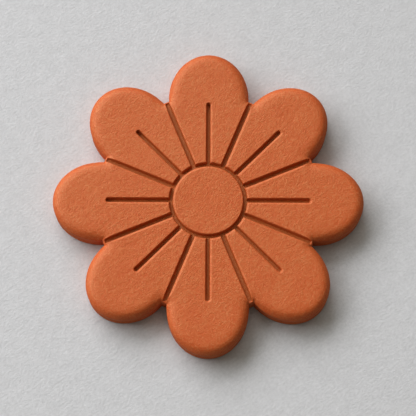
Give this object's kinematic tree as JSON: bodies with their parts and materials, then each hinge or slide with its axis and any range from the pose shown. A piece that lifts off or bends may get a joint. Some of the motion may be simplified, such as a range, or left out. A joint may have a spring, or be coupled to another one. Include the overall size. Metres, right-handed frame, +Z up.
{
  "type": "pressed clay flower",
  "caption": "Flat terracotta clay flower with rounded petals, a raised round centre and stamped radial grooves, cut and embossed from one slab.",
  "frame": {"origin": "centre of the flat underside, on the surface that the flower lies on", "axes": "+Z up out of the grooved face; +X and +Y each run along the vein of a petal"},
  "size_m": [0.076, 0.076, 0.0064],
  "materials": {
    "terracotta_clay": "matt unglazed terracotta clay with a fine grain"
  },
  "bodies": {
    "root": {"clay_flower": "terracotta_clay"}
  },
  "joints": []
}
